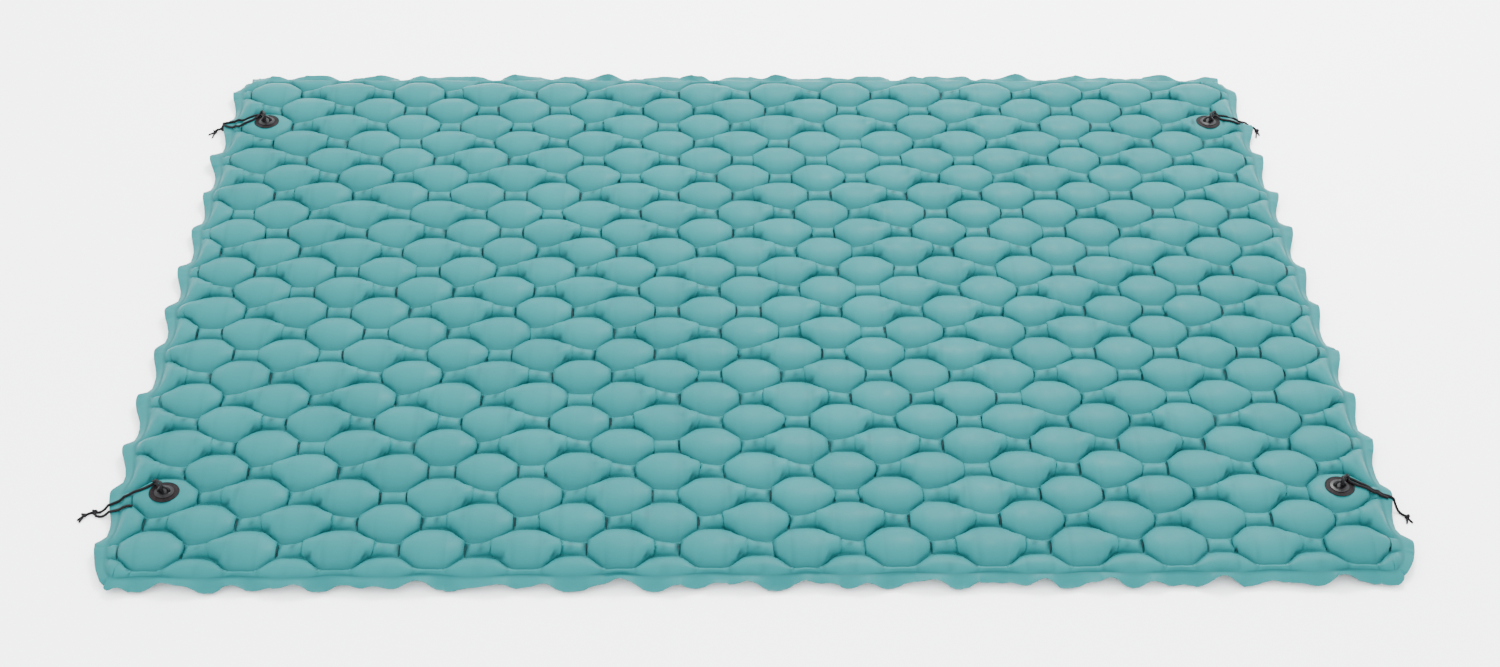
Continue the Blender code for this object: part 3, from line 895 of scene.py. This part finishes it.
def knot_centre(corner, table, film):
    centre = corner_point(corner, table[corner])
    centre.z = resting_height(film, centre) + KNOT_LIFT
    return centre


def loop_route(corner, hitch):
    """The cord's loop from the hitch knot, under the eyelet's arch, and back over it to the knot."""
    x, knot = LOOP_SIDE, HITCH_KNOTS[corner]
    arch_top = 1000 * TIES[corner].arch_top
    bar = arch_top - 1000 * (ARCH_WIRE + ARCH_RADIUS) + math.sqrt((1000 * ARCH_RADIUS) ** 2 - x**2)
    round_bar = 1000 * (ARCH_WIRE + CORD / 2) + LOOP_SLACK
    diagonal = round_bar * math.sqrt(0.5)
    under = [(knot[0] * 0.52 + 1, knot[1] * 0.5, LOOP_LOW), (x + 1.5, 6, LOOP_LOW), (x, 0, bar - round_bar)]
    front = [(x, -diagonal, bar - diagonal), (x, -round_bar, bar), (x, -diagonal, bar + diagonal)]
    over = [(x, 0, bar + round_bar), (x + 1.5, 7, bar + round_bar), (knot[0] - 9, knot[1] - 10, bar + 2),
            (knot[0] - 3, knot[1] - 4, knot[2] + 8)]
    points = [corner_point(corner, point) for point in under + front + over]
    return smooth_route([hitch, *points, hitch], CORD_STEP)


def lay_cord(name, nodes, route, material):
    """A braided cord along its route, in place of those nodes."""
    piece = make_braid(name, [(route, COVER * CORD / 2, False)], material)
    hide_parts(*nodes)


def make_knot(name, node, centre, turn, tips, film, material):
    """A knot, and the short ends of cord that stand out of it."""
    strands = [(knot_path(centre, turn, KNOT_SCALE), KNOT_STRAND * CORD, True)]
    for tip in tips:
        route = smooth_route([centre, *tip], CORD_STEP)
        strands.append((settle(route, film, CORD / 2, (centre.z, None)), TIP_STRAND * CORD, False))
    piece = make_braid(name, strands, material)
    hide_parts(node)
    return piece


def make_corner_cords(corner, film, material):
    hitch = knot_centre(corner, HITCH_KNOTS, film)
    end = knot_centre(corner, END_KNOTS, film)
    turns = KNOT_TURNS[corner]
    tips = [[corner_point(corner, point) for point in tip] for tip in TIPS[corner]]
    has_stopper = corner in STOPPER_KNOTS
    hitch_knot = make_knot(f"tie_hitch_{corner}", f"hitch_knot_{corner}", hitch, turns[0], [], film, material)
    end_knot = make_knot(f"tie_knot_{corner}", f"end_knot_{corner}", end, turns[1],
                         [] if has_stopper else tips, film, material)

    tether = [hitch] + [corner_point(corner, point) for point in TETHERS[corner]] + [end]
    replaced, knots, last = [f"tether_{corner}"], [end_knot], end
    if has_stopper:
        last = knot_centre(corner, STOPPER_KNOTS, film)
        knots.append(make_knot(f"tie_stopper_{corner}", f"stopper_knot_{corner}", last, turns[2], tips,
                               film, material))
        tether += [corner_point(corner, point) for point in CORD_ENDS[corner]] + [last]
        replaced.append(f"cord_end_{corner}")
    route = settle(smooth_route(tether, CORD_STEP), film, COVER * CORD / 2, (hitch.z, last.z))
    lay_cord(f"tie_cord_{corner}", replaced, route, material)

    route = loop_route(corner, hitch)
    lay_cord(f"tie_loop_{corner}", [f"cord_loop_{corner}"], route, material)

    start = end if corner == "front_left" else hitch
    tail = [start] + [corner_point(corner, point) for point in TAILS[corner]]
    heights, far_end = (start.z, None), "bare"
    if corner == "rear_left":
        tail.append(end)
        heights, far_end = (start.z, end.z), "knot"
    route = settle(smooth_route(tail, CORD_STEP), film, COVER * CORD / 2, heights)
    lay_cord(f"tie_tail_{corner}", [f"tether_tail_{corner}"], route, material)


# Materials

def add_node(tree, kind, inputs=None, **settings):
    made = tree.nodes.new(kind)
    for name, value in settings.items():
        setattr(made, name, value)
    for name, value in (inputs or {}).items():
        if isinstance(value, bpy.types.NodeSocket):
            tree.links.new(value, made.inputs[name])
        else:
            made.inputs[name].default_value = value
    return made


def noise(tree, scale, detail=2.0, stretch=None):
    """A noise pattern fixed to the object, with scale cells to a metre."""
    place = add_node(tree, "ShaderNodeTexCoord").outputs["Object"]
    if stretch:
        place = add_node(tree, "ShaderNodeMapping", {"Vector": place, "Scale": stretch}).outputs["Vector"]
    pattern = add_node(tree, "ShaderNodeTexNoise", {"Vector": place, "Scale": scale, "Detail": detail})
    return pattern.outputs["Fac"]


def ramp(tree, value, low, high):
    """A value from a pattern's 0.3 to 0.7, spread from low to high."""
    return add_node(tree, "ShaderNodeMapRange", {"Value": value, "From Min": 0.3, "From Max": 0.7,
                                                 "To Min": low, "To Max": high}).outputs["Result"]


def blend_colour(tree, share, first, second):
    mix = add_node(tree, "ShaderNodeMix", data_type="RGBA")
    tree.links.new(share, mix.inputs["Factor"])
    for slot, value in (("A", first), ("B", second)):
        socket = next(s for s in mix.inputs if s.name == slot and s.type == "RGBA")
        if isinstance(value, bpy.types.NodeSocket):
            tree.links.new(value, socket)
        else:
            socket.default_value = (*value, 1)
    return next(s for s in mix.outputs if s.type == "RGBA")


def bump(tree, height, distance, strength, below=None):
    inputs = {"Height": height, "Distance": distance, "Strength": strength}
    if below:
        inputs["Normal"] = below
    return add_node(tree, "ShaderNodeBump", inputs).outputs["Normal"]


def new_material(name, **constants):
    material = bpy.data.materials.new(name)
    material.use_nodes = True
    shader = material.node_tree.nodes["Principled BSDF"]
    for socket, value in constants.items():
        shader.inputs[socket.replace("_", " ")].default_value = value
    return material, material.node_tree


def plug_in(tree, **patterns):
    """Links each pattern to the shader's socket of that name."""
    shader = tree.nodes["Principled BSDF"]
    for socket, pattern in patterns.items():
        tree.links.new(pattern, shader.inputs[socket.replace("_", " ")])


def vinyl_material():
    """Matt welded film: a fine weave under the coat, faint cloudiness, darker welds, and painted shade that
    darkens the creases.
    """
    material, tree = new_material("teal_film", Specular_IOR_Level=VINYL_SHINE)
    weld = add_node(tree, "ShaderNodeAttribute", attribute_name="weld").outputs["Fac"]
    cloud = ramp(tree, noise(tree, 5.0, 3.0), 0.0, 1.0)
    film = blend_colour(tree, cloud, VINYL_DEEP, VINYL_PALE)
    speck = ramp(tree, noise(tree, 420.0, 2.0), 0.0, 0.16)
    film = blend_colour(tree, speck, film, VINYL_SPECK)
    film = blend_colour(tree, weld, film, VINYL_WELD)
    # Painted shade: the film is darkened towards near-black in its creases, where shade falls
    crease_shade = add_node(tree, "ShaderNodeAttribute", attribute_name="crease_shade").outputs["Fac"]
    film = blend_colour(tree, crease_shade, film, VINYL_CREASE_SHADE)
    place = add_node(tree, "ShaderNodeTexCoord").outputs["Object"]
    across, along = (add_node(tree, "ShaderNodeTexWave", {"Vector": place, "Scale": THREADS},
                              wave_type="BANDS", bands_direction=axis).outputs["Fac"] for axis in "XY")
    weave = add_node(tree, "ShaderNodeMath", {0: across, 1: along}, operation="MAXIMUM").outputs["Value"]
    grain = bump(tree, weave, 0.00012, 0.22)
    grain = bump(tree, noise(tree, 700.0, 3.0), 0.00020, 0.30, grain)
    grain = bump(tree, noise(tree, 22.0, 3.0, (1, 0.45, 1)), 0.0030, 0.30, grain)
    grain = bump(tree, noise(tree, 75.0, 2.0, (0.5, 1, 1)), 0.0012, 0.22, grain)
    plug_in(tree, Base_Color=film, Roughness=ramp(tree, noise(tree, 34.0, 4.0), 0.42, 0.56), Normal=grain)
    return material


def disc_material():
    """The tie discs' thicker film, brown-black, rubbed paler in places, with a leathery grain."""
    material, tree = new_material("disc_film", Specular_IOR_Level=DISC_SHINE)
    worn = ramp(tree, noise(tree, 60.0, 5.0), 0.0, 1.0)
    grain = bump(tree, noise(tree, 1100.0, 3.0), 0.0002, 0.45)
    grain = bump(tree, noise(tree, 95.0, 3.0), 0.0009, 0.35, grain)
    plug_in(tree, Base_Color=blend_colour(tree, worn, DISC_DEEP, DISC_PALE),
            Roughness=ramp(tree, noise(tree, 140.0, 3.0), 0.50, 0.68), Normal=grain)
    return material


def moulded_material(name, deep, pale, roughness, grain_scale, shine):
    """Moulded plastic or rubber: faint flow marks, handling scuffs, and a fine mould texture."""
    material, tree = new_material(name, Specular_IOR_Level=shine)
    flow = ramp(tree, noise(tree, 90.0, 4.0, (1, 1, 2.5)), 0.0, 1.0)
    plug_in(tree, Base_Color=blend_colour(tree, flow, deep, pale),
            Roughness=ramp(tree, noise(tree, 260.0, 5.0), *roughness),
            Normal=bump(tree, noise(tree, grain_scale, 3.0), 0.00015, 0.35))
    return material


def cord_material():
    """Braided polyester: dull black, with a slight sheen of loose fibres."""
    material, tree = new_material("braided_cord", Specular_IOR_Level=CORD_SHINE, Sheen_Weight=0.02,
                                  Sheen_Roughness=0.5)
    fibre = ramp(tree, noise(tree, 1500.0, 3.0), 0.0, 1.0)
    plug_in(tree, Base_Color=blend_colour(tree, fibre, CORD_DEEP, CORD_PALE),
            Roughness=ramp(tree, noise(tree, 300.0, 2.0), 0.68, 0.88),
            Normal=bump(tree, noise(tree, 1900.0, 3.0), 0.0003, 0.7))
    return material


def floor_material():
    material, tree = new_material("pale_floor", Roughness=0.9, Specular_IOR_Level=0.1)
    tone = ramp(tree, noise(tree, 0.6, 2.0), 0.0, 1.0)
    plug_in(tree, Base_Color=blend_colour(tree, tone, FLOOR_DEEP, FLOOR_PALE))
    return material


# The room

def add_light(name, kind, place, aim, energy, **settings):
    light = bpy.data.lights.new(name, kind)
    light.energy = energy
    for setting, value in settings.items():
        setattr(light, setting, value)
    lamp = bpy.data.objects.new(name, light)
    lamp.location = place
    lamp.rotation_euler = (Vector(aim) - Vector(place)).to_track_quat("-Z", "Y").to_euler()
    bpy.context.scene.collection.objects.link(lamp)


def make_room():
    floor = bpy.data.meshes.new("floor")
    corners = [(FLOOR_REACH * x, FLOOR_REACH * y, 0) for x, y in ((-1, -1), (1, -1), (1, 1), (-1, 1))]
    floor.from_pydata(corners, [], [(0, 1, 2, 3)])
    floor.materials.append(floor_material())
    ground = bpy.data.objects.new("floor", floor)
    bpy.context.scene.collection.objects.link(ground)
    add_light("key", "AREA", KEY_PLACE, (0, 0, 0), KEY_POWER, size=KEY_SIZE)
    add_light("fill", "AREA", FILL_PLACE, (0, 0, 0), FILL_POWER, size=FILL_SIZE)
    world = bpy.data.worlds.new("studio")
    bpy.context.scene.world = world
    world.use_nodes = True
    sky = world.node_tree.nodes["Background"]
    sky.inputs["Color"].default_value = SKY_COLOUR
    sky.inputs["Strength"].default_value = SKY


# Building the mat

def top_limit(film):
    """Holds the top film above the floor and under the discs, and lets it rise gently past their rims."""
    x, y = film.start[..., 0], film.start[..., 1]
    ceiling = np.full(x.shape, np.inf, np.float32)
    for tie in TIES.values():
        out = np.hypot(x - tie.centre.x, y - tie.centre.y) - tie.radius
        rise = np.maximum(out - DISC_CLEAR, 0) * DISC_SHOULDER
        ceiling = np.minimum(ceiling, tie.underside - DISC_GAP + rise)

    def limit(points):
        np.clip(points[..., 2], FLOOR_GAP * 2, ceiling, out=points[..., 2])

    return limit


def make_top(material):
    film = film_grid(np.random.default_rng(TOP_SEED), np.random.default_rng(SHARED_SEED))
    points = inflate(film, film.start, film.weld | ~film.inside, top_limit(film))
    piece = add_piece("top_film", film_mesh("top_film", points, film, True), material)
    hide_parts("top_sheet")
    return film, points


def grown(mark):
    """The marked grid points and those next to them."""
    for axis in (0, 1):
        mark = mark | np.roll(mark, 1, axis) | np.roll(mark, -1, axis)
    return mark


def make_bottom(top_points, material):
    """The underside is blown up upside down, with the flange and the welds where the top film has them."""
    film = film_grid(np.random.default_rng(BOTTOM_SEED), np.random.default_rng(SHARED_SEED))
    start = film.start.copy()
    start[..., 2] += FILM_PAIR - 2 * film.weld_ripple
    held = film.weld | ~film.inside
    start[held] = top_points[held]
    start[held, 2] = HEIGHT - start[held, 2] + FILM_PAIR
    valve_low, valve_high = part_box("valve_base")
    valve = Vector(((valve_low.x + valve_high.x) / 2, (valve_low.y + valve_high.y) / 2, 0))
    plate = grown(np.hypot(start[..., 0] - valve.x, start[..., 1] - valve.y) < VALVE_PLATE)
    start[plate, 2] = HEIGHT - PLATE_Z
    held |= plate

    def limit(points):
        np.minimum(points[..., 2], HEIGHT - FLOOR_GAP, out=points[..., 2])

    points = inflate(film, start, held, limit)
    points[..., 2] = HEIGHT - points[..., 2]
    for rim in (points[0], points[-1], points[:, 0], points[:, -1]):
        rim[:, 2] += FILM_PAIR - RIM_GAP
    mesh = film_mesh("bottom_film", points, film, False)
    cut_round_hole(mesh, Vector((valve.x, valve.y, PLATE_Z)), VALVE_HOLE)
    piece = add_piece("bottom_film", mesh, material)
    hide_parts("bottom_sheet")


def give_material(node, material):
    part = bpy.data.objects[node]
    part.data.materials.clear()
    part.data.materials.append(material)


TIES = {corner_name: tie_point(corner_name) for corner_name in CORNERS}
make_camera()
teal = vinyl_material()
top_film, top_film_points = make_top(teal)
make_bottom(top_film_points, teal)
disc_black = disc_material()
eyelet_black = moulded_material("eyelet_plastic", EYELET_DEEP, EYELET_PALE, roughness=(0.26, 0.40),
                                grain_scale=1600.0, shine=PLASTIC_SHINE)
valve_black = moulded_material("valve_plastic", VALVE_DEEP, VALVE_PALE, roughness=(0.34, 0.50),
                               grain_scale=1200.0, shine=PLASTIC_SHINE)
seal_black = moulded_material("seal_rubber", SEAL_DEEP, SEAL_PALE, roughness=(0.55, 0.75),
                              grain_scale=900.0, shine=SEAL_SHINE)
braid = cord_material()
under_cords = BVHTree.FromPolygons(top_film_points.reshape(-1, 3).tolist(),
                                   grid_faces(top_film.weld.shape, True).tolist())
for corner_name in CORNERS:
    make_disc(corner_name, disc_black)
    make_eyelet(corner_name, eyelet_black)
    make_corner_cords(corner_name, under_cords, braid)
for valve_node in ("valve_base", "valve_plug", "cap_strap", "valve_cap"):
    give_material(valve_node, valve_black)
for rubber_node in ("valve_seal", "valve_flap"):
    give_material(rubber_node, seal_black)
make_room()
